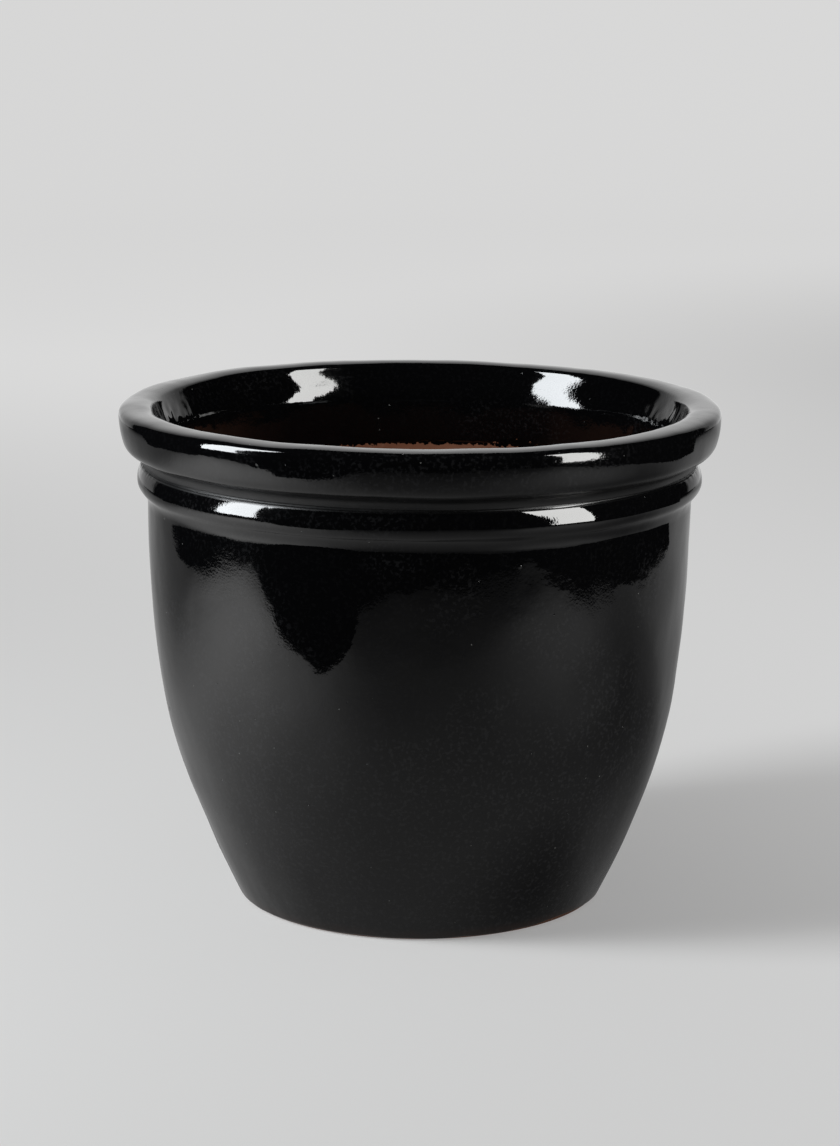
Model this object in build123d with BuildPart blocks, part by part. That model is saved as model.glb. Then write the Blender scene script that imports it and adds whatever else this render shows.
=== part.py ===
"""A glazed earthenware planter, built up as a potter builds it.

A clay slab carries a curved wall. A bead coil and a rolled rim coil are stacked on the wall, with a
ring of slip between them, and a thin glass glaze covers the outside, the rim and the top of the
inside. Every piece is a body of revolution about Z. The origin is the centre of the foot, on the
surface that the pot stands on. All sizes are in millimetres.
"""

import os
from math import acos, asin, degrees, sqrt

from build123d import *

os.makedirs("parts", exist_ok=True)

# Driving dimensions
rim_diameter = 305.0  # widest point of the rolled rim
height = 255.0
foot_diameter = 187.8
wall_thickness = 9.0
floor_thickness = 16.0
glaze_thickness = 1.0

# Rolled rim
rim_radius = rim_diameter / 2
crest_radius = rim_radius - 10.0  # circle of the highest points
shoulder_drop = 5.2  # from the crest down to the widest point
lip_radius = crest_radius - 7.0  # edge of the mouth
lip_drop = 3.3
rim_face_end = (rim_radius - 1.9, height - 18.0)  # end of the nearly upright outer face
rim_roll_end = (rim_radius - 7.5, height - 23.7)  # where the underside turns into the groove

# Bead under the rim, and the groove between the two
bead_radius = 143.5  # widest circle of the bead
bead_z = height - 38.0
bead_upper_arc = 14.4  # radius of the bead's flatter upper side
bead_lower_arc = 7.5
groove_radius = 140.8  # crease where the bead meets the rim's underside
slip_thickness = 1.6
bead_coil_bottom = height - 49.0
cove_fillet = 5.0  # hollow between the bead and the wall

# Outside of the wall: three arcs that run smoothly into each other
wall_radius = 138.2  # upright, just under the bead
wall_top_z = height - 52.0
waist_point = (133.4, 121.0)
belly_point = (119.7, 61.5)
foot_radius = foot_diameter / 2

# Inside
throat_z = height - 19.5  # where the flared mouth becomes the upright wall
flare_top_arm = (1.3, 5.5)  # inward and downward reach of the flare's upper control point
flare_bottom_arm = 4.5
floor_fillet = 15.0
glaze_line_z = height - 44.0  # edge of the glaze on the inside

# Foot
foot_edge_fillet = 2.0
foot_ring_width = 16.0
foot_recess = 3.0
drain_radius = 12.5
drain_fillet = 1.0
bare_foot_height = 3.0  # the glaze stops this far above the floor

# Outside of the wall, from under the bead down to the foot
with BuildLine():
    upper_arc = TangentArc((wall_radius, wall_top_z), waist_point, tangent=(0, -1))
    middle_arc = TangentArc(waist_point, belly_point, tangent=upper_arc % 1)
    lower_arc = TangentArc(belly_point, (foot_radius, 0), tangent=middle_arc % 1)


def under(arc, place, depth):
    """The point at a depth under the outside of the wall, where an arc has run that far."""
    along = arc % place
    return arc @ place + Vector(along.Y, -along.X) * depth


def wall_arcs(depth):
    """The wall's three arcs at a depth under its outside, from the top down."""
    TangentArc(under(upper_arc, 0, depth), under(middle_arc, 0, depth), tangent=upper_arc % 0)
    TangentArc(under(middle_arc, 0, depth), under(lower_arc, 0, depth), tangent=middle_arc % 0)
    return TangentArc(under(lower_arc, 0, depth), under(lower_arc, 1, depth), tangent=lower_arc % 0)


def nearest(corners, radius, z):
    """The corner of a section that is nearest to a radius and a height."""
    return corners.sort_by_distance((radius, z, 0))[0]


def crease_point(skin):
    """Where the bead's upper side ends in the groove, at a depth of skin under the surface."""
    reach = groove_radius - skin - (bead_radius - bead_upper_arc)
    return groove_radius - skin, bead_z + sqrt((bead_upper_arc - skin) ** 2 - reach**2)


def solid_section(skin):
    """The pot's outline filled in to the axis, at a depth of skin under its glazed surface."""
    crease = crease_point(skin)
    upper_angle = degrees(asin((crease[1] - bead_z) / (bead_upper_arc - skin)))
    lower_reach = wall_radius - skin - (bead_radius - bead_lower_arc)
    lower_angle = degrees(acos(lower_reach / (bead_lower_arc - skin)))
    with BuildSketch() as section:
        with BuildLine():
            foot_end = wall_arcs(skin) @ 1
            bead_under = CenterArc(
                (bead_radius - bead_lower_arc, bead_z), bead_lower_arc - skin, -lower_angle, lower_angle
            )
            CenterArc((bead_radius - bead_upper_arc, bead_z), bead_upper_arc - skin, 0, upper_angle)
            Line(bead_under @ 0, under(upper_arc, 0, skin))
            TangentArc(crease, (rim_roll_end[0], rim_roll_end[1] + skin), tangent=(0, 1))
            rim_face = TangentArc(
                (rim_radius - skin, height - shoulder_drop),
                (rim_face_end[0] - skin, rim_face_end[1]),
                tangent=(0, -1),
            )
            TangentArc(
                rim_face @ 1, (rim_roll_end[0], rim_roll_end[1] + skin), tangent=rim_face % 1
            )
            EllipticalCenterArc(
                (crest_radius, height - shoulder_drop),
                rim_radius - crest_radius - skin,
                shoulder_drop - skin,
                start_angle=0,
                arc_size=90,
            )
            Polyline(
                (crest_radius, height - skin),
                (0, height - skin),
                (0, foot_end.Y),
                foot_end,
            )
        make_face()
        bead_foot = bead_under @ 0
        fillet(nearest(section.vertices(), bead_foot.X, bead_foot.Y), cove_fillet + skin)
    return section.sketch


def hollow_section(skin):
    """The space inside down to the floor, cut back to a depth of skin under its surface."""
    bore = under(upper_arc, 0, wall_thickness - skin)
    with BuildSketch() as section:
        with BuildLine():
            EllipticalCenterArc(
                (crest_radius, height - lip_drop),
                crest_radius - lip_radius - skin,
                lip_drop - skin,
                start_angle=90,
                arc_size=90,
            )
            Bezier(
                (lip_radius + skin, height - lip_drop),
                (lip_radius + skin - flare_top_arm[0], height - lip_drop - flare_top_arm[1]),
                (bore.X, throat_z + flare_bottom_arm),
                (bore.X, throat_z),
            )
            Line((bore.X, throat_z), bore)
            corner = wall_arcs(wall_thickness - skin) @ 1
            Polyline(
                corner,
                (0, corner.Y),
                (0, height - skin),
                (crest_radius, height - skin),
            )
        make_face()
        Rectangle(rim_diameter, 2 * floor_thickness, mode=Mode.SUBTRACT)
        fillet(nearest(section.vertices(), foot_radius, floor_thickness), floor_fillet)
    return section.sketch


outside = solid_section(0)
outside_clay = solid_section(glaze_thickness)
inside = hollow_section(0)
inside_clay = hollow_section(glaze_thickness)

# The glaze: an outer skin that stops above the foot, and an inner one that stops at the glaze line
with BuildSketch() as glaze_section:
    add(outside)
    add(outside_clay, mode=Mode.SUBTRACT)
    Rectangle(rim_diameter, 2 * bare_foot_height, mode=Mode.SUBTRACT)
    add(inside, mode=Mode.SUBTRACT)
with BuildSketch() as inner_glaze_section:
    add(inside_clay)
    add(inside, mode=Mode.SUBTRACT)
    Rectangle(rim_diameter, 2 * glaze_line_z, mode=Mode.SUBTRACT)

# The clay: everything that the glaze leaves, less the foot's recess and the drain hole
with BuildSketch() as clay_section:
    add(outside)
    add(inside, mode=Mode.SUBTRACT)
    fillet(nearest(clay_section.vertices(), foot_radius, 0), foot_edge_fillet)
    add(glaze_section.sketch, mode=Mode.SUBTRACT)
    add(inner_glaze_section.sketch, mode=Mode.SUBTRACT)
    Rectangle(2 * (foot_radius - foot_ring_width), 2 * foot_recess, mode=Mode.SUBTRACT)
    Rectangle(2 * drain_radius, 3 * floor_thickness, mode=Mode.SUBTRACT)
    fillet(nearest(clay_section.vertices(), drain_radius, foot_recess), drain_fillet)
    fillet(nearest(clay_section.vertices(), drain_radius, floor_thickness), drain_fillet)

# The pieces of clay, by the heights between which each one lies
seam_bottom = crease_point(0)[1]
seam_top = seam_bottom + slip_thickness
clay_bands = {
    "base_slab": (0, floor_thickness),
    "body_wall": (floor_thickness, bead_coil_bottom),
    "bead_coil": (bead_coil_bottom, seam_bottom),
    "seam_slip": (seam_bottom, seam_top),
    "rim_coil": (seam_top, height),
}
for name, (bottom, top) in clay_bands.items():
    with BuildPart() as clay_piece:
        with BuildSketch(Plane.XZ):
            add(clay_section.sketch)
            with Locations((0, bottom)):
                Rectangle(
                    rim_diameter, top - bottom, align=(Align.MIN, Align.MIN), mode=Mode.INTERSECT
                )
        revolve(axis=Axis.Z)
    clay_piece.part.label = name
    export_step(clay_piece.part, f"parts/{name}.step")

with BuildPart() as glaze_coat:
    with BuildSketch(Plane.XZ):
        add(glaze_section.sketch)
        add(inner_glaze_section.sketch)
    revolve(axis=Axis.Z)
glaze_coat.part.label = "glaze_coat"
export_step(glaze_coat.part, "parts/glaze_coat.step")
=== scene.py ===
"""Looks for a black-glazed earthenware planter: hand-made clay pieces under one coat of glass glaze.

Every piece is a closed outline turned about Z, then put slightly out of true as a hand-made pot is.
Outlines are complex numbers, radius + 1j * height, in metres. Turn is the angle about Z: 0 is towards
the camera, on -Y, and it grows towards +X.
"""

from math import acos, cos, degrees, pi, radians, sin, sqrt

import bpy
import numpy as np
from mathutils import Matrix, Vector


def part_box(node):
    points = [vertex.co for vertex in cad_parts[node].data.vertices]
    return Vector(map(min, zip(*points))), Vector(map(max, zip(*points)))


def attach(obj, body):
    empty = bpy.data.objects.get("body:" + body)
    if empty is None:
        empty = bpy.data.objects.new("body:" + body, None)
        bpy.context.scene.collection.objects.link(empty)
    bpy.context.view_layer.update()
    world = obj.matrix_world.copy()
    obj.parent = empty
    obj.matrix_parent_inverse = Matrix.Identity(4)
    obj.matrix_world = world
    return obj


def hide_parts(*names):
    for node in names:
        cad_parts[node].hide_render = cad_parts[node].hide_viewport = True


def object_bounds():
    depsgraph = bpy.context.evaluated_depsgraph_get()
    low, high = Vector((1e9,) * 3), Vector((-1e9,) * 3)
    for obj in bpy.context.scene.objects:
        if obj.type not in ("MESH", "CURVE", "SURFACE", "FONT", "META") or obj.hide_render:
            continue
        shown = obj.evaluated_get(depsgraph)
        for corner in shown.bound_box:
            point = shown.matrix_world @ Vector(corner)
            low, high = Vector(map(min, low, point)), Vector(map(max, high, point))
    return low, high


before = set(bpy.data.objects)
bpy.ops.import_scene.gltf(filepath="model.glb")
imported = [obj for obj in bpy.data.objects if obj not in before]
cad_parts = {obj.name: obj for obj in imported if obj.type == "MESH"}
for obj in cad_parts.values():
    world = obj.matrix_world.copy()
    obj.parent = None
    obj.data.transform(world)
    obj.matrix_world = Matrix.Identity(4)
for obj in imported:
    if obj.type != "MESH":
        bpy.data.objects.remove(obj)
cad_low, cad_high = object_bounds()
MM = 0.001

# Sizes of the pot
height = cad_high.z
rim_radius = cad_high.x
foot_radius = 93.9 * MM
crest_radius = rim_radius - 10 * MM
shoulder_drop = 5.2 * MM
shoulder_fullness = 2.8  # 2 is an oval, and more is squarer
lip_radius = crest_radius - 7 * MM
lip_drop = 3.3 * MM
rim_face_end = complex(rim_radius - 1.9 * MM, height - 18 * MM)
rim_roll_end = complex(rim_radius - 7.5 * MM, height - 23.7 * MM)
bead_radius = 143.5 * MM
bead_z = height - 38 * MM
bead_upper_arc = 14.4 * MM
bead_lower_arc = 7.5 * MM
groove_radius = 140.8 * MM
cove_radius = 9 * MM
wall_radius = 138.2 * MM
wall_top_z = height - 52 * MM
waist_point = complex(133.4 * MM, 121 * MM)
belly_point = complex(119.7 * MM, 61.5 * MM)
wall_thickness = 9 * MM
throat_z = height - 19.5 * MM
flare_top_arm = complex(-1.3 * MM, -5.5 * MM)
flare_bottom_arm = 4.5 * MM
floor_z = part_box("base_slab")[1].z
floor_fillet = 15 * MM
drain_radius = 12.5 * MM
drain_fillet = 1 * MM
foot_ring_width = 16 * MM
foot_ring_fillet = 1.5 * MM
foot_recess = 3 * MM
foot_edge_fillet = 2 * MM
glaze_thickness = 1 * MM
glaze_line_z = height - 44 * MM
bare_foot_height = 3 * MM
bead_coil_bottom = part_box("bead_coil")[0].z
seam_bottom, seam_top = (corner.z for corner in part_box("seam_slip"))

glaze_softness = 0.3 * MM  # how far the glaze rounds over the corners of the outline

glaze_segments = 540
clay_segments = 360
arc_points = 60

# What each light reaches
glazed = bpy.data.collections.new("glazed")
glazed_and_floor = bpy.data.collections.new("glazed_and_floor")
clay = bpy.data.collections.new("clay")


# Outlines

def oval_arc(centre, radii, start, end):
    """An oval arc between two angles in degrees, from the outward direction."""
    turn = np.radians(np.linspace(start, end, arc_points))
    return centre + radii[0] * np.cos(turn) + 1j * radii[1] * np.sin(turn)


def arc(centre, radius, start, end):
    """A round arc between two angles in degrees, from the outward direction."""
    return oval_arc(centre, (radius, radius), start, end)


def full_shoulder(centre, radii, fullness):
    """A quarter of a squarish oval, from its outermost point up to its top."""
    turn = np.linspace(0, pi / 2, arc_points)
    across = np.clip(np.cos(turn), 0, 1) ** (2 / fullness)
    up = np.sin(turn) ** (2 / fullness)
    return centre + radii[0] * across + 1j * radii[1] * up


def bend(start, heading, end):
    """An arc that leaves start along heading and reaches end, and its heading there."""
    half_turn = np.angle((end - start) / heading)
    share = np.linspace(0, 1, arc_points)
    chords = np.sin(half_turn * share) / sin(half_turn)
    line = start + (end - start) * chords * np.exp(1j * half_turn * (share - 1))
    return line, heading * np.exp(2j * half_turn)


def bezier(a, b, c, d):
    """A cubic curve from a to d."""
    t = np.linspace(0, 1, arc_points)
    return a * (1 - t) ** 3 + 3 * b * t * (1 - t) ** 2 + 3 * c * t**2 * (1 - t) + d * t**3


def join(*lines):
    """One line made of several, without repeated points."""
    line = np.concatenate([np.atleast_1d(np.asarray(part, complex)) for part in lines])
    keep = np.append(True, abs(np.diff(line)) > 1e-7)
    return line[keep]


def resample(line, spacing):
    """The same line with its points a spacing apart, which may be a function of the place."""
    middles = (line[1:] + line[:-1]) / 2
    gaps = spacing(middles) if callable(spacing) else spacing
    steps = np.append(0, np.cumsum(abs(np.diff(line)) / gaps))
    places = np.linspace(0, steps[-1], int(steps[-1]) + 2)
    return np.interp(places, steps, line.real) + 1j * np.interp(places, steps, line.imag)


def soften(line, reach):
    """The line with its corners rounded over about the reach, as glaze flows into and off them."""
    step = 0.2 * MM
    even = resample(line, step)
    size = int(3 * reach / step)
    weights = np.exp(-0.5 * (np.arange(-size, size + 1) * step / reach) ** 2)
    before = 2 * even[0] - even[size:0:-1]
    after = 2 * even[-1] - even[-2 : -size - 2 : -1]
    return np.convolve(np.concatenate([before, even, after]), weights / weights.sum(), "valid")


def headings(line):
    """The direction of the line at each point."""
    along = np.gradient(line)
    return along / abs(along)


def distances(line):
    """How far along the line each point lies, as a column."""
    return np.append(0, np.cumsum(abs(np.diff(line))))[:, None]


def inset(line, depth):
    """The line moved into the clay, which is on its left, and trimmed where it would cross itself."""
    moved = line + 1j * headings(line) * depth
    gaps = abs(moved[:, None] - line[None, :]).min(axis=1)
    return moved[gaps > 0.98 * depth]


def wall_outline():
    """The outside of the wall, from under the bead down to the foot."""
    upper, heading = bend(complex(wall_radius, wall_top_z), -1j, waist_point)
    middle, heading = bend(waist_point, heading, belly_point)
    lower, heading = bend(belly_point, heading, complex(foot_radius, 0))
    return join(upper, middle, lower)


def outer_outline():
    """The outside of the pot, from the foot up over the bead and the rim to the edge of the mouth."""
    bead_under = complex(bead_radius - bead_lower_arc, bead_z)
    bead_over = complex(bead_radius - bead_upper_arc, bead_z)
    reach = bead_lower_arc + cove_radius
    cove_angle = degrees(acos((wall_radius + cove_radius - bead_under.real) / reach))
    cove_centre = bead_under + reach * np.exp(-1j * radians(cove_angle))
    crease_angle = degrees(acos((groove_radius - bead_over.real) / bead_upper_arc))
    bead_top = arc(bead_over, bead_upper_arc, 0, crease_angle)
    groove, _ = bend(bead_top[-1], 1j, rim_roll_end)
    face, heading = bend(complex(rim_radius, height - shoulder_drop), -1j, rim_face_end)
    roll, _ = bend(rim_face_end, heading, rim_roll_end)
    shoulder_centre = complex(crest_radius, height - shoulder_drop)
    shoulder_radii = (rim_radius - crest_radius, shoulder_drop)
    lip_centre = complex(crest_radius, height - lip_drop)
    return join(
        wall_outline()[::-1],
        arc(cove_centre, cove_radius, 180, 180 - cove_angle),
        arc(bead_under, bead_lower_arc, -cove_angle, 0),
        bead_top,
        groove,
        roll[::-1],
        face[::-1],
        full_shoulder(shoulder_centre, shoulder_radii, shoulder_fullness),
        oval_arc(lip_centre, (crest_radius - lip_radius, lip_drop), 90, 180),
    )


def inner_outline():
    """The inside, from the edge of the mouth down to the floor."""
    lip_edge = complex(lip_radius, height - lip_drop)
    bore = wall_radius - wall_thickness
    throat = complex(bore, throat_z)
    flare = bezier(lip_edge, lip_edge + flare_top_arm, throat + 1j * flare_bottom_arm, throat)
    outside_down = wall_outline()
    inward = -1j * headings(outside_down)
    wall = outside_down + inward * wall_thickness
    deep = outside_down + inward * (wall_thickness + floor_fillet)
    centre_z = floor_z + floor_fillet
    centre = complex(np.interp(-centre_z, -deep.imag, deep.real), centre_z)
    contact = abs(wall - centre).argmin()
    end_angle = degrees(np.angle(wall[contact] - centre))
    fillet = arc(centre, floor_fillet, end_angle, -90)
    return join(flare, wall[:contact], fillet)


# Hand-made shape

def smooth_step(value, low, high):
    """0 up to low, 1 from high on, and a smooth rise in between."""
    share = np.clip((value - low) / (high - low), 0, 1)
    return share * share * (3 - 2 * share)


def hand_made(outlines, turn):
    """The points of this pot where a perfect one has its outlines: a little oval, with an uneven rim."""
    z = outlines.imag
    oval = 1 + 0.0016 * np.cos(2 * turn + 0.7) * smooth_step(z, 0.0, 0.2)
    drift_length = 0.21
    drift = 0.35 * MM * np.sin(z * 2 * pi / drift_length + 0.6)
    x = outlines.real * oval * np.sin(turn) + drift
    y = -outlines.real * oval * np.cos(turn) + 0.5 * drift
    rim_tilt = -0.8 * MM * np.sin(turn) + 0.25 * MM * np.cos(3 * turn + 1.1)
    return np.stack([x, y, z + rim_tilt * smooth_step(z, 0.16, 0.24)], axis=-1)


def relief(seed, wavelength, amplitude, along, turn, waves=60):
    """A smooth random relief over the surface, whose bumps are about a wavelength long."""
    draw = np.random.default_rng(seed)
    bumps = np.zeros(np.broadcast(along, turn).shape)
    for _ in range(waves):
        heading = draw.uniform(0, pi)
        number = 2 * pi / wavelength * draw.uniform(0.6, 1.5)
        round_the_axis = round(number * cos(heading) * wall_radius)
        phase = round_the_axis * turn + number * sin(heading) * along
        bumps += np.cos(phase + draw.uniform(0, 2 * pi))
    return amplitude * bumps * sqrt(2 / waves)


# Meshes

def build_mesh(name, grid, material, node, slot):
    """A piece from a grid of points: rows follow the closed outline, columns go round the pot."""
    rows, columns = grid.shape[:2]
    index = np.arange(rows * columns).reshape(rows, columns)
    across, up = np.roll(index, -1, axis=1), np.roll(index, -1, axis=0)
    faces = np.stack([index, across, np.roll(up, -1, axis=1), up], axis=-1).reshape(-1, 4)
    mesh = bpy.data.meshes.new(name)
    mesh.from_pydata(grid.reshape(-1, 3).tolist(), [], faces.tolist())
    mesh.shade_smooth()
    mesh.set_sharp_from_angle(angle=radians(50))
    mesh.materials.append(material)
    piece = bpy.data.objects.new(name, mesh)
    bpy.context.scene.collection.objects.link(piece)
    if slot == "terracotta":
        clay.objects.link(piece)
    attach(piece, "root")
    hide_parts(node)
    return piece


def around(segments):
    """The turns of the columns of a piece, as a row."""
    return (np.arange(segments) * 2 * pi / segments)[None, :]


def cut(line, bottom, top):
    """The part of a rising or falling line between two heights, with its ends exactly on them."""
    rising = line if line[-1].imag > line[0].imag else line[::-1]
    ends = [complex(np.interp(z, rising.imag, rising.real), z) for z in (bottom, top)]
    between = rising[(rising.imag > bottom) & (rising.imag < top)]
    part = join(ends[0], between, ends[1])
    return part if rising is line else part[::-1]


surface = soften(join(outer_outline(), inner_outline()), glaze_softness)
crest = surface.imag.argmax()


# The glaze

glaze_edge_step = 0.3 * MM
glaze_lip = 0.45 * MM  # how far the glaze stands above the bare clay at its edge
glaze_lip_reach = 1.2 * MM
seam_depth = 0.7 * MM
seam_reach = 0.45 * MM


def glaze_spacing(line):
    """Close together on the bead and the rim and at the glaze's edges, and wider on the wall."""
    spacing = np.where(line.imag < wall_top_z, 4.6 * MM, 1.15 * MM)
    inside = (line.real < lip_radius) & (line.imag > bead_coil_bottom)
    spacing = np.where(inside, 2.6 * MM, spacing)
    fine = abs(line.imag - bare_foot_height) < 1.5 * MM
    fine = fine | (abs(line.imag - seam_bottom) < 1.2 * MM)
    fine = fine | (inside & (line.imag < glaze_line_z + 1.5 * MM))
    return np.where(fine, glaze_edge_step, spacing)


def glaze_back_spacing(line):
    """The back of the glaze, hidden against the clay, takes few points."""
    return np.where(line.imag < wall_top_z, 25 * MM, 5 * MM)


def round_the_pot(seed, wavelength, amplitude, turn):
    """A smooth random line round the pot."""
    return relief(seed, wavelength, amplitude, np.zeros(1), turn)


def drip_line(turn):
    """How far the inner edge of the glaze lies below its mean height, with 60 small drips on it."""
    line = round_the_pot(11, 60 * MM, 0.2 * MM, turn) + round_the_pot(12, 6 * MM, 0.22 * MM, turn)
    line = line - 0.9 * MM - 2.6 * MM * np.sin(turn)
    draw = np.random.default_rng(5)
    for _ in range(60):
        place = draw.uniform(0, 2 * pi)
        length = draw.uniform(0.2, 0.9) * MM
        width = draw.uniform(0.9, 1.8) * MM
        away = (turn - place + pi) % (2 * pi) - pi
        line = line + length * np.exp(-((away * wall_radius / width) ** 2))
    return line


def foot_line(turn):
    """How far the glaze runs down past its mean lower edge, nearly to the floor but for one bare place."""
    bare = np.exp(-(((turn - radians(50)) / radians(14)) ** 2))
    return 2.5 * MM - 1.8 * MM * bare + round_the_pot(13, 30 * MM, 0.15 * MM, turn)


def glaze_outlines():
    """The front of the glaze, from its lower edge over the rim to its inner edge, and its back."""
    outer_edge = abs(surface[:crest].imag - bare_foot_height).argmin()
    inner_edge = crest + abs(surface[crest:].imag - glaze_line_z).argmin()
    front = resample(surface[outer_edge : inner_edge + 1], glaze_spacing)
    back = resample(inset(front, glaze_thickness), glaze_back_spacing)
    return front, back


def glaze_bumps(front, along, turn):
    """How far the glaze stands out: uneven all over, and rougher at the pot's two sides.

    There the seam in the groove under the rim is ragged, and the inside below the lip is rippled.
    """
    bumps = relief(1, 48 * MM, 0.11 * MM, along, turn) + relief(2, 16 * MM, 0.02 * MM, along, turn)
    outside = (np.arange(len(front)) < front.imag.argmax())[:, None]
    sideways = abs(np.sin(turn))
    from_seam = front.imag[:, None] - seam_bottom
    ragged = smooth_step(sideways, 0.86, 0.97) * outside * np.exp(-((from_seam / (1.8 * MM)) ** 2))
    bumps += relief(4, 5 * MM, 0.1 * MM, along, turn) * ragged
    under_lip = smooth_step(height - front.imag, 6 * MM, 11 * MM)[:, None]
    rippled = smooth_step(sideways, 0.8, 0.95) * (1 - outside) * under_lip
    bumps += relief(5, 9 * MM, 0.1 * MM, along, turn) * rippled
    return bumps - seam_depth * np.exp(-((from_seam / seam_reach) ** 2)) * outside


def make_glaze(material):
    """The whole coat of glaze, with rounded edges that stand a little above the bare clay."""
    front, back = glaze_outlines()
    turn = around(glaze_segments)
    along = distances(front)
    from_inner_edge = along[-1] - along
    edge = np.minimum(along, from_inner_edge) / glaze_lip_reach
    rounding = 1 - np.sqrt(1 - np.clip(1 - edge, 0, 1) ** 2)
    thicker = np.exp(-((from_inner_edge / (20 * MM)) ** 4))
    out = glaze_bumps(front, along, turn) * np.clip(edge, 0, 1) + glaze_lip * (thicker - rounding)
    slide = drip_line(turn) * np.exp(-from_inner_edge / (8 * MM))
    slide = slide - foot_line(turn) * np.exp(-along / (6 * MM))
    heading = headings(front)[:, None]
    skin = front[:, None] + out * -1j * heading + slide * heading
    behind = np.repeat(back[::-1, None], glaze_segments, axis=1)
    grid = hand_made(np.concatenate([skin, behind]), turn)
    return build_mesh("glaze_skin", grid, material, "glaze_coat", "black_glaze")


# The clay

clay_spacing = 2.2 * MM
slab_spacing = 1.6 * MM


def clay_lines():
    """The outside of the clay under the glaze, rising, and the inside of the pot, falling."""
    under = inset(surface, glaze_thickness)
    top = under.imag.argmax()
    inside = surface[crest:]
    glazed_part = smooth_step(inside.imag, glaze_line_z + 3 * MM, glaze_line_z + 8 * MM)
    bare = inside + 1j * headings(inside) * glaze_thickness * glazed_part
    inner_start = abs(bare.imag - under[top].imag).argmin() + 1
    return under[:top], np.concatenate([under[top : top + 1], bare[inner_start:]])


def clay_grid(outline, seen, marks):
    """The turned outline, with the potter's marks where seen is 1."""
    turn = around(clay_segments)
    along = distances(outline)
    bumps = relief(21, 60 * MM, 0.25 * MM, along, turn) + marks(along, turn)
    out = bumps * seen[:, None] * -1j * headings(outline)[:, None]
    return hand_made(outline[:, None] + out, turn)


def finger_grooves(along, turn):
    """Shallow rings left by smoothing the inside, which climb a little as they go round."""
    return 0.16 * MM * np.sin(along * 2 * pi / (8.5 * MM) + turn) * (1 + 0.4 * np.sin(3 * turn))


def floor_grooves(along, turn):
    """A shallow spiral left by smoothing the floor."""
    return 0.22 * MM * np.sin(along * 2 * pi / (9 * MM) + turn)


def make_coil(name, node, bottom, top, material):
    """A piece of the wall between two heights, with the marks on its inside."""
    outside, inside = (
        resample(cut(line, bottom, min(top, line.imag.max())), clay_spacing) for line in clay_lines()
    )
    bare = smooth_step(inside.imag, bottom, bottom + 4 * MM) * smooth_step(-inside.imag, -top, -top + 4 * MM)
    seen = np.concatenate([np.zeros(len(outside)), bare])
    grid = clay_grid(np.concatenate([outside, inside]), seen, finger_grooves)
    return build_mesh(name, grid, material, node, "terracotta")


def slab_outline():
    """The slab's section: the floor, the side, the foot ring, the recess and the drain hole."""
    side = cut(clay_lines()[0], foot_edge_fillet, floor_z)[::-1]
    ring_inner = foot_radius - foot_ring_width
    hole_edge = drain_radius + drain_fillet
    line = join(
        arc(complex(hole_edge, floor_z - drain_fillet), drain_fillet, 180, 90),
        side,
        arc(side[-1] - foot_edge_fillet, foot_edge_fillet, 0, -90),
        arc(complex(ring_inner + foot_ring_fillet, foot_ring_fillet), foot_ring_fillet, 270, 180),
        arc(complex(ring_inner - drain_fillet, foot_recess - drain_fillet), drain_fillet, 0, 90),
        arc(complex(hole_edge, foot_recess + drain_fillet), drain_fillet, -90, -180),
    )
    return resample(join(line, line[0]), slab_spacing)[:0:-1]


def make_base(material):
    """The slab, with the marks on its top only, between the drain hole and the wall."""
    outline = slab_outline()
    wall_edge = surface[-1].real
    seen = (outline.imag > floor_z - 0.1 * MM) * smooth_step(outline.real, 16 * MM, 22 * MM)
    seen = seen * smooth_step(-outline.real, -wall_edge, -wall_edge + 6 * MM)
    grid = clay_grid(outline, seen, floor_grooves)
    return build_mesh("foot_clay", grid, material, "base_slab", "terracotta")


# Materials

def feed(tree, socket, value):
    """Give an input socket a value, or the output socket that feeds it."""
    if isinstance(value, bpy.types.NodeSocket):
        tree.links.new(value, socket)
    else:
        socket.default_value = value


def add_node(tree, kind, settings=(), **inputs):
    """A shader node; inputs are values, or the output sockets that feed them."""
    made = tree.nodes.new(kind)
    for name, value in dict(settings).items():
        setattr(made, name, value)
    for name, value in inputs.items():
        feed(tree, made.inputs[name.replace("_", " ")], value)
    return made


def new_material(name):
    """An empty material, its node tree and the place on the object in metres."""
    material = bpy.data.materials.new(name)
    material.use_nodes = True
    tree = material.node_tree
    tree.nodes.clear()
    place = add_node(tree, "ShaderNodeTexCoord").outputs["Object"]
    return material, tree, place


def finish_material(tree, shader):
    """The shader becomes the material's surface."""
    output = add_node(tree, "ShaderNodeOutputMaterial")
    tree.links.new(shader.outputs[0], output.inputs["Surface"])


def coordinate(tree, place, axis):
    """The X, Y or Z of the place."""
    return add_node(tree, "ShaderNodeSeparateXYZ", Vector=place).outputs[axis]


def noise(tree, place, wavelength, detail=2.0, roughness=0.5):
    """Clouds whose blotches are about a wavelength long, from 0 to 1."""
    made = add_node(
        tree, "ShaderNodeTexNoise", Vector=place, Scale=1 / wavelength, Detail=detail, Roughness=roughness
    )
    return made.outputs["Fac"]


def ramp(tree, factor, low, high, bottom=0.0, top=1.0):
    """Factor from low to high becomes bottom to top, and stays there beyond."""
    made = add_node(
        tree,
        "ShaderNodeMapRange",
        {"interpolation_type": "SMOOTHSTEP"},
        **{"Value": factor, "From Min": low, "From Max": high, "To Min": bottom, "To Max": top},
    )
    return made.outputs["Result"]


def math_node(tree, operation, first, second):
    """One operation on two fields or numbers."""
    made = add_node(tree, "ShaderNodeMath", {"operation": operation})
    for socket, value in zip(made.inputs, (first, second)):
        feed(tree, socket, value)
    return made.outputs[0]


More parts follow.
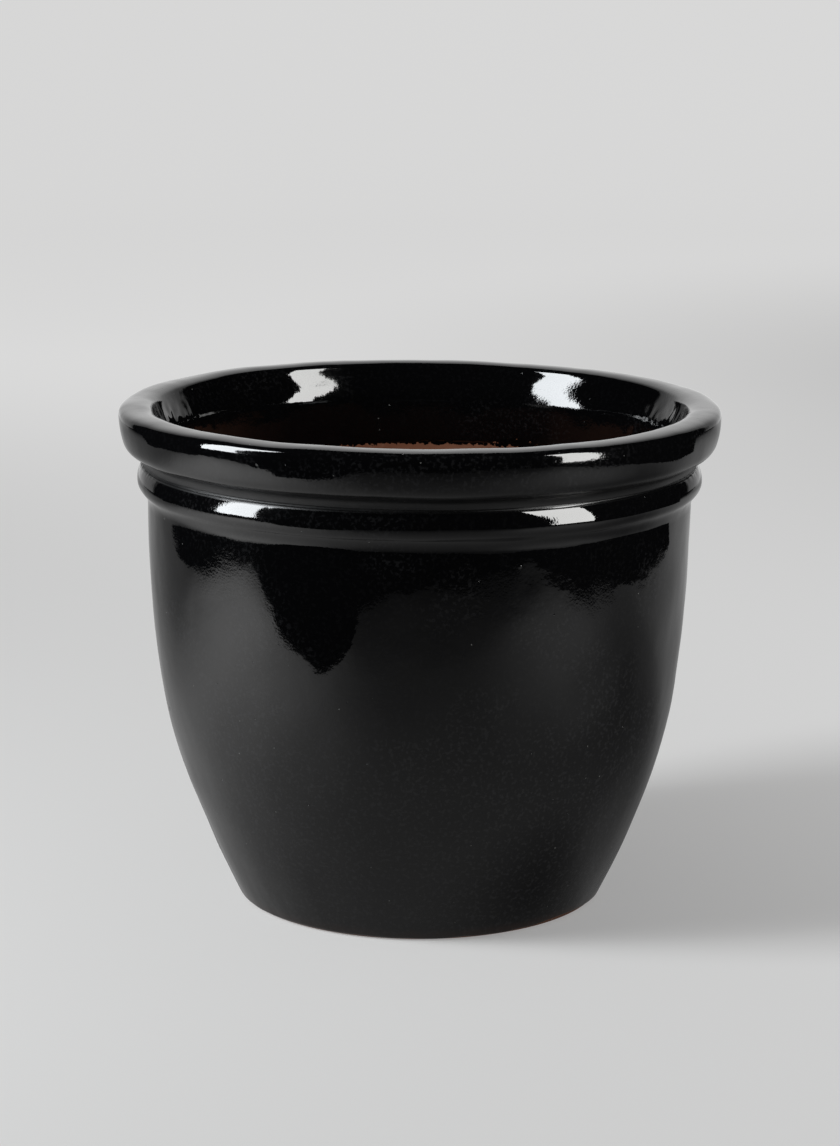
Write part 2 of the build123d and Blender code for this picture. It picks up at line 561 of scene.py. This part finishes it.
def vector_math(tree, operation, *vectors):
    """One operation on vectors: a length and a distance are numbers, and the rest are vectors."""
    made = add_node(tree, "ShaderNodeVectorMath", {"operation": operation})
    for socket, value in zip(made.inputs, vectors):
        feed(tree, socket, value)
    return made.outputs["Value" if operation in ("LENGTH", "DISTANCE") else "Vector"]


def total(tree, first, *others):
    """The sum of several fields or numbers."""
    for field in others:
        first = math_node(tree, "ADD", first, field)
    return first


def product(tree, first, *others):
    """Several fields or numbers multiplied together."""
    for field in others:
        first = math_node(tree, "MULTIPLY", first, field)
    return first


def blend_colours(tree, factor, first, second):
    """The first colour where the factor is 0, and the second one where it is 1."""
    made = add_node(tree, "ShaderNodeMix", {"data_type": "RGBA"})
    for socket, value in zip((made.inputs[0], made.inputs[6], made.inputs[7]), (factor, first, second)):
        feed(tree, socket, value)
    return made.outputs[2]


def bump(tree, height_field, depth, under=None):
    """A bump of a real depth in metres, on top of another one."""
    made = add_node(tree, "ShaderNodeBump", Height=height_field, Distance=depth, Strength=1.0)
    if under is not None:
        tree.links.new(under, made.inputs["Normal"])
    return made.outputs["Normal"]


def specks(tree, place, spacing, size, share):
    """Round spots of about a size, a spacing apart, in a share of the places where one could be."""
    cells = add_node(tree, "ShaderNodeTexVoronoi", Vector=place, Scale=1 / spacing, Randomness=1.0)
    near = ramp(tree, cells.outputs["Distance"], 0.3 * size / spacing, size / spacing, 1.0, 0.0)
    chosen = add_node(tree, "ShaderNodeSeparateColor", Color=cells.outputs["Color"]).outputs[0]
    return product(tree, near, math_node(tree, "LESS_THAN", chosen, share))


# The larger flaws in the glaze: turn in degrees, radius, height, size and how far it stands out
glaze_flaws = (
    (-30, 151 * MM, 245.4 * MM, 1.5 * MM, -0.45),
    (20, 137 * MM, 197 * MM, 1.8 * MM, 1.0),
    (-80, 125 * MM, 78 * MM, 1.8 * MM, -1.0),
    (-75, 131 * MM, 103 * MM, 1.5 * MM, -1.0),
    (150, 130 * MM, 95 * MM, 1.7 * MM, 1.0),
)


def flaw(tree, place, turn, radius, z, size, rise):
    """A pit or a pimple, where a bubble burst in the glaze or a grain of clay lies under it."""
    centre = (radius * sin(radians(turn)), -radius * cos(radians(turn)), z)
    return ramp(tree, vector_math(tree, "DISTANCE", place, centre), 0.0, size, rise, 0.0)


def groove_mask(tree, place, z):
    """1 in the groove between the bead and the rim, and 0 elsewhere."""
    above_bead = ramp(tree, z, seam_bottom - 1.6 * MM, seam_bottom - 0.4 * MM)
    below_roll = ramp(tree, z, rim_roll_end.imag + 1 * MM, rim_roll_end.imag + 3 * MM, 1.0, 0.0)
    from_axis = vector_math(tree, "LENGTH", vector_math(tree, "MULTIPLY", place, (1, 1, 0)))
    outside = math_node(tree, "GREATER_THAN", from_axis, lip_radius)
    return product(tree, outside, above_bead, below_roll)


def glaze_colour(tree, place, z, satin):
    """Black, with pale grains of painted sheen where it is satin, a brown tint where it thins at the foot,
    and dust.
    """
    # Painted sheen: pale grains in the colour stand for the glaze's glints where it is satin.
    sheen_grains = ramp(tree, noise(tree, place, 1.8 * MM, 2.0), 0.5, 0.68)
    sheen = product(tree, sheen_grains, ramp(tree, satin, 0.0, 0.5, 0.15, 1.0))
    colour = blend_colours(tree, sheen, (0.0014, 0.0014, 0.0016, 1), (0.008, 0.008, 0.0085, 1))
    thin = ramp(tree, z, bare_foot_height - 1 * MM, bare_foot_height + 5 * MM, 1.0, 0.0)
    tint = product(tree, thin, noise(tree, place, 7 * MM, 3.0))
    colour = blend_colours(tree, tint, colour, (0.015, 0.007, 0.0045, 1))
    dust = specks(tree, place, 8 * MM, 0.45 * MM, 0.35)
    return blend_colours(tree, dust, colour, (0.11, 0.11, 0.105, 1))


def glaze_relief(tree, place, satin, fine):
    """Slow waves, orange peel, a fine grain, pinholes and the larger flaws."""
    waves = bump(tree, noise(tree, place, 9 * MM, 2.0), 0.05 * MM)
    peel = bump(tree, noise(tree, place, 3.2 * MM, 2.0), 0.022 * MM, waves)
    speckled = ramp(tree, noise(tree, place, 38 * MM, 1.0), 0.5, 0.6, 0.25, 1.6)
    grain_depth = product(tree, fine, math_node(tree, "MAXIMUM", speckled, satin))
    grain = bump(tree, grain_depth, 0.022 * MM, peel)
    pinholes = product(tree, specks(tree, place, 9 * MM, 0.5 * MM, 0.25), -0.6)
    flaws = total(tree, *(flaw(tree, place, *where) for where in glaze_flaws), pinholes)
    return bump(tree, flaws, 0.5 * MM, grain)


def glaze_material():
    """Black glass glaze: mirror-bright above, satin lower down and in patches, dull in the groove."""
    material, tree, place = new_material("black_glaze")
    z = coordinate(tree, place, "Z")
    satin_low = ramp(tree, z, 0.02, 0.15, 1.0, 0.0)
    patches = ramp(tree, noise(tree, place, 60 * MM, 3.0), 0.45, 0.62, 0.0, 0.35)
    satin = product(tree, total(tree, patches, satin_low), 0.9)
    fine = noise(tree, place, 1.1 * MM, 2.0)
    dull_groove = product(tree, groove_mask(tree, place, z), 1.6)
    dull = total(tree, satin, product(tree, fine, 0.12), dull_groove)
    shader = add_node(
        tree,
        "ShaderNodeBsdfPrincipled",
        Base_Color=glaze_colour(tree, place, z, satin),
        Roughness=ramp(tree, dull, 0.0, 2.2, 0.035, 0.42),
        Normal=glaze_relief(tree, place, satin, fine),
        IOR=1.52,
    )
    finish_material(tree, shader)
    return material


def terracotta_material():
    """Bare fired clay: blotchy orange-brown with pale and dark grit, matt and slightly rough."""
    material, tree, place = new_material("terracotta")
    blotches = ramp(tree, noise(tree, place, 45 * MM, 4.0, 0.6), 0.3, 0.7)
    colour = blend_colours(tree, blotches, (0.25, 0.10, 0.056, 1), (0.34, 0.152, 0.09, 1))
    stains = ramp(tree, noise(tree, place, 12 * MM, 5.0, 0.65), 0.5, 0.75, 0.0, 0.55)
    colour = blend_colours(tree, stains, colour, (0.42, 0.235, 0.155, 1))
    colour = blend_colours(tree, specks(tree, place, 4 * MM, 0.7 * MM, 0.35), colour, (0.09, 0.04, 0.027, 1))
    colour = blend_colours(tree, specks(tree, place, 5.5 * MM, 0.6 * MM, 0.3), colour, (0.6, 0.44, 0.33, 1))
    z = coordinate(tree, place, "Z")
    near_glaze = ramp(tree, z, glaze_line_z - 3 * MM, glaze_line_z + 1 * MM, 0.0, 0.5)
    smears = ramp(tree, total(tree, near_glaze, noise(tree, place, 2.4 * MM, 3.0)), 0.82, 0.86)
    colour = blend_colours(tree, smears, colour, (0.0016, 0.0016, 0.0018, 1))
    grit = bump(tree, noise(tree, place, 0.9 * MM, 3.0, 0.6), 0.12 * MM)
    drag = bump(tree, noise(tree, place, 6 * MM, 3.0), 0.35 * MM, grit)
    roughness = ramp(tree, noise(tree, place, 3 * MM, 3.0), 0.2, 0.8, 0.78, 0.95)
    shader = add_node(
        tree, "ShaderNodeBsdfPrincipled", Base_Color=colour, Roughness=roughness, Normal=drag, IOR=1.45
    )
    finish_material(tree, shader)
    return material


# Studio

def lobe(tree, place, centre, reach, strength):
    """A soft round patch of light on the floor: its strength at its centre, and nothing past its reach."""
    moved = add_node(
        tree,
        "ShaderNodeMapping",
        Vector=place,
        Location=(-centre[0] / reach[0], -centre[1] / reach[1], 0),
        Scale=(1 / reach[0], 1 / reach[1], 0),
    )
    away = vector_math(tree, "LENGTH", moved.outputs["Vector"])
    return ramp(tree, away, 0.0, 1.0, strength, 0.0)


def floor_material():
    """Pale paint that takes the left soft box's shadow, evened out by a light of its own.

    Close to that soft box there is no paint, only the even light, so the floor isn't burnt out there.
    """
    material, tree, place = new_material("floor_paint_and_glow")
    paint = (0.56, 0.545, 0.53, 1)
    # Painted light and shade: the floor's own glow is laid out in soft patches, lower where the left soft
    # box lights it and towards the far right, and a little higher near the pot.
    lit_side = lobe(tree, place, (-0.9, -0.25), (2.3, 2.3), -0.55)
    far_right = lobe(tree, place, (0.9, 1.6), (1.3, 1.5), -0.2)
    near = lobe(tree, place, (-0.3, 0.1), (1.6, 1.3), 0.05)
    at_the_box = math_node(tree, "MINIMUM", lobe(tree, place, (-2.0, -0.35), (1.65, 2.0), 3.0), 1.0)
    elsewhere = math_node(tree, "SUBTRACT", 1.0, at_the_box)
    evened = product(tree, total(tree, lit_side, far_right, near, 0.575), elsewhere)
    shader = add_node(
        tree,
        "ShaderNodeBsdfPrincipled",
        Base_Color=blend_colours(tree, at_the_box, paint, (0, 0, 0, 1)),
        Roughness=1.0,
        Specular_IOR_Level=0.0,
        Emission_Color=(1, 1, 1, 1),
        Emission_Strength=total(tree, evened, product(tree, at_the_box, 0.62)),
    )
    finish_material(tree, shader)
    return material


def glow_material(name, strength):
    """A new material that only shines; strength(tree, place) says how much."""
    material, tree, place = new_material(name)
    shader = add_node(tree, "ShaderNodeEmission", Color=(1, 1, 1, 1), Strength=strength(tree, place))
    finish_material(tree, shader)
    return material


def paper_glow(tree, place):
    """Brightest beside the left soft box, and darker to the front and in the pot's shade."""
    front = coordinate(tree, place, "Y")
    near = ramp(tree, front, -0.85, -0.15, 0.05, 0.22)
    far = ramp(tree, front, 1.0, 1.6, 0.0, 0.25)
    # Painted light: pools of the soft boxes' light on the paper, beside the left one, to the right and
    # behind.
    left = lobe(tree, place, (-0.62, -0.2), (0.6, 0.48), 1.2)
    near_left = lobe(tree, place, (-0.25, 0.1), (0.5, 0.6), 0.22)
    right = lobe(tree, place, (0.5, -0.34), (0.4, 0.34), 0.28)
    right_back = lobe(tree, place, (0.6, 0.65), (0.6, 0.7), 0.17)
    behind = lobe(tree, place, (-0.1, 0.9), (0.9, 0.7), 0.25)
    # Painted shadows: the pot's shadow to its right and its contact shadow at the foot, painted darker into
    # the glow.
    shade = lobe(tree, place, (0.35, 0.02), (0.5, 0.26), -0.13)
    contact = lobe(tree, place, (0.075, -0.085), (0.1, 0.065), -0.16)
    lit = total(tree, near, far, left, near_left, right, behind, shade, contact, right_back)
    side = math_node(tree, "ABSOLUTE", coordinate(tree, place, "X"), 0.0)
    return product(tree, lit, ramp(tree, side, 0.85, 1.3, 1.0, 0.0))


def background_glow(tree, place):
    """Brightest in the middle, and fading out at its left and right edges."""
    side = math_node(tree, "ABSOLUTE", coordinate(tree, place, "X"), 0.0)
    middle = ramp(tree, side, 0.3, 1.5, 0.57, 0.0)
    whole_width = ramp(tree, side, 1.55, 1.8, 0.33, 0.0)
    return total(tree, middle, whole_width)


def add_stage(name, vertices, faces, material, rays):
    """A piece of the studio that only the named kinds of ray can see."""
    mesh = bpy.data.meshes.new(name)
    mesh.from_pydata(vertices, [], faces)
    mesh.shade_smooth()
    mesh.materials.append(material)
    made = bpy.data.objects.new(name, mesh)
    bpy.context.scene.collection.objects.link(made)
    for kind in ("camera", "diffuse", "glossy", "transmission", "volume_scatter", "shadow"):
        setattr(made, "visible_" + kind, kind in rays)
    return made


def make_cove():
    """The pale floor, which curves up into a round wall on all sides, and shows in the drain hole."""
    floor_radius, curve, wall_height, columns = 3.4, 1.4, 4.0, 96
    line = [(0.001, 0.0), (0.5, 0.0), (1.2, 0.0), (2.2, 0.0)]
    for t in np.radians(np.linspace(0, 90, 24)):
        line.append((floor_radius + curve * sin(t), curve * (1 - cos(t))))
    line.append((floor_radius + curve, wall_height))
    angles = np.arange(columns) * 2 * pi / columns
    vertices = [(r * cos(a), r * sin(a), z) for r, z in line for a in angles]
    index = np.arange(len(line) * columns).reshape(len(line), columns)
    across = np.roll(index, -1, axis=1)
    faces = np.stack([index[:-1], across[:-1], across[1:], index[1:]], axis=-1).reshape(-1, 4)
    middle = tuple(range(columns))
    return add_stage("cove", vertices, faces.tolist() + [middle], floor_material(), ("camera",))


def make_reflections():
    """What the glaze mirrors: a glowing stand-in for the paper that the pot stands on, with light and shade
    painted into its glow, and the lit background behind it.
    """
    left_edge = [
        (-1.3, 1.6), (-1.3, 0.9), (-0.90, 0.5), (-0.90, -0.40), (-0.65, -0.42), (-0.45, -0.34),
        (-0.30, -0.38), (-0.25, -0.50), (-0.27, -0.70), (-0.15, -0.83),
    ]
    right_edge = [
        (0.10, -0.86), (0.45, -0.82), (0.66, -0.66), (0.74, -0.30), (0.74, 0.5), (1.3, 0.9), (1.3, 1.6),
    ]
    glowing_paper = [(x, y, 0.0) for x, y in left_edge + right_edge]
    face = tuple(range(len(glowing_paper)))[::-1]
    add_stage("glowing_paper", glowing_paper, [face], glow_material("glowing_paper", paper_glow), ("glossy",))
    low, high, back, lean, half = 0.0, 2.6, 1.6, 0.3, 1.8
    corners = [(-half, back, low), (half, back, low), (half, back + lean, high), (-half, back + lean, high)]
    glow = glow_material("lit_background", background_glow)
    add_stage("lit_background", corners, [(0, 1, 2, 3)], glow, ("glossy",))


def add_light(name, size, power, colour, place, rotation, lit):
    """A rectangular light that the camera can't see and that lights only the objects of one collection."""
    light = bpy.data.lights.new(name, "AREA")
    light.shape = "RECTANGLE"
    light.size, light.size_y = size
    light.energy = power
    light.color = colour
    box = bpy.data.objects.new(name, light)
    box.location = place
    box.rotation_euler = rotation
    box.visible_camera = False
    bpy.context.scene.collection.objects.link(box)
    box.light_linking.receiver_collection = lit
    return box


def make_soft_box(name, azimuth, width, low, power, colour, lit):
    """An upright soft box that faces the pot."""
    distance, high = 1.3, 1.45
    a = radians(azimuth)
    place = (distance * sin(a), -distance * cos(a), (low + high) / 2)
    add_light(name, (width, high - low), power, colour, place, (pi / 2, 0, a), lit)


def make_clay_light():
    """A small light from above the camera, which reaches the bare clay at the back of the inside."""
    tilt = (radians(55), 0, 0)
    box = add_light("clay_light", (0.3, 0.3), 7, (1, 1, 1), (0.15, -1.1, 1.0), tilt, clay)
    box.visible_glossy = False


def make_world():
    """A faint even light from the room, which the glaze doesn't mirror."""
    scene = bpy.context.scene
    world = bpy.data.worlds.new("room")
    world.use_nodes = True
    background = world.node_tree.nodes["Background"]
    background.inputs["Color"].default_value = (0.98, 0.99, 1.0, 1)
    background.inputs["Strength"].default_value = 0.15
    world.cycles_visibility.glossy = False
    world.cycles_visibility.camera = False
    scene.world = world
    scene.view_settings.view_transform = "Standard"


def make_camera():
    """The photograph's view: from a little above, with a long lens."""
    camera = bpy.data.objects.new("camera", bpy.data.cameras.new("camera"))
    camera.location = (0.0004, -1.525, 0.4979)
    camera.rotation_euler = (radians(90 - 12.29), 0, 0)
    camera.data.lens = 95.5
    camera.data.sensor_width = 36
    bpy.context.scene.collection.objects.link(camera)
    bpy.context.scene.camera = camera


make_camera()
make_world()
cove = make_cove()
make_reflections()

glazed_and_floor.objects.link(cove)
terracotta = terracotta_material()
glaze_skin = make_glaze(glaze_material())
glazed.objects.link(glaze_skin)
glazed_and_floor.objects.link(glaze_skin)
make_coil("rim_clay", "rim_coil", seam_top, height, terracotta)
make_coil("slip_ring", "seam_slip", seam_bottom, seam_top, terracotta)
make_coil("bead_clay", "bead_coil", bead_coil_bottom, seam_bottom, terracotta)
make_coil("wall_clay", "body_wall", floor_z, bead_coil_bottom, terracotta)
make_base(terracotta)

# The right soft box is feathered off the floor, so only the left one throws a shadow
make_soft_box("right_soft_box", 60, 0.37, 0.0, 24, (1.0, 1.0, 0.985), glazed)
make_soft_box("left_soft_box", -74, 0.42, 0.12, 34, (0.93, 0.97, 1.0), glazed_and_floor)
make_clay_light()

bpy.context.view_layer.update()
